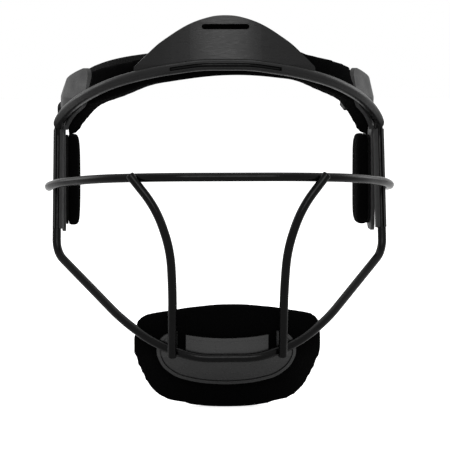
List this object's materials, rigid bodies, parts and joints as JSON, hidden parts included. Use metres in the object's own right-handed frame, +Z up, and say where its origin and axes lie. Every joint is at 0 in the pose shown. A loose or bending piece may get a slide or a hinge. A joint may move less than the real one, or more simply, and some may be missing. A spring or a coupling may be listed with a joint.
{
  "type": "face_guard",
  "caption": "Fielder's face guard: welded black wire cage, moulded brow shell with visor, temple plates, chin cup, foam pads and a rear strap with sliding keepers",
  "frame": {"origin": "middle of the head, midway between the temple pads at about half their height", "axes": "+X to the wearer's left, +Y to the back of the head, +Z up"},
  "size_m": [0.1998, 0.2381, 0.2185],
  "materials": {
    "cage_coating": "semi-gloss black coating",
    "shell_plastic": "gloss black",
    "plate_plastic": "satin black, fine grain",
    "pad_fabric": "brushed loop fabric over foam",
    "hook_tape": "hook tape",
    "webbing": "woven webbing",
    "keeper_plastic": "satin black"
  },
  "bodies": {
    "guard": {"perimeter_wire": "cage_coating", "eye_bar": "cage_coating", "cheek_bar_left": "cage_coating", "cheek_bar_right": "cage_coating", "brow_shell": "shell_plastic", "temple_plate_left": "plate_plastic", "temple_plate_right": "plate_plastic", "chin_cup": "shell_plastic", "forehead_pad": "pad_fabric", "temple_pad_left": "pad_fabric", "temple_pad_right": "pad_fabric", "chin_pad": "pad_fabric", "forehead_hook_left": "hook_tape", "forehead_hook_middle": "hook_tape", "forehead_hook_right": "hook_tape", "temple_hook_left": "hook_tape", "temple_hook_right": "hook_tape", "chin_hook_left": "hook_tape", "chin_hook_right": "hook_tape", "rear_strap": "webbing"},
    "keeper_left": {"strap_keeper_left": "keeper_plastic"},
    "keeper_right": {"strap_keeper_right": "keeper_plastic"}
  },
  "joints": [
    {"name": "keeper_slide_left", "type": "slide", "parent": "guard", "child": "keeper_left", "axis": [-0.2328, 0.8946, 0.3815], "range_m": [-0.004, 0.004]},
    {"name": "keeper_slide_right", "type": "slide", "parent": "guard", "child": "keeper_right", "axis": [0.2328, 0.8946, 0.3815], "range_m": [-0.004, 0.004]}
  ]
}
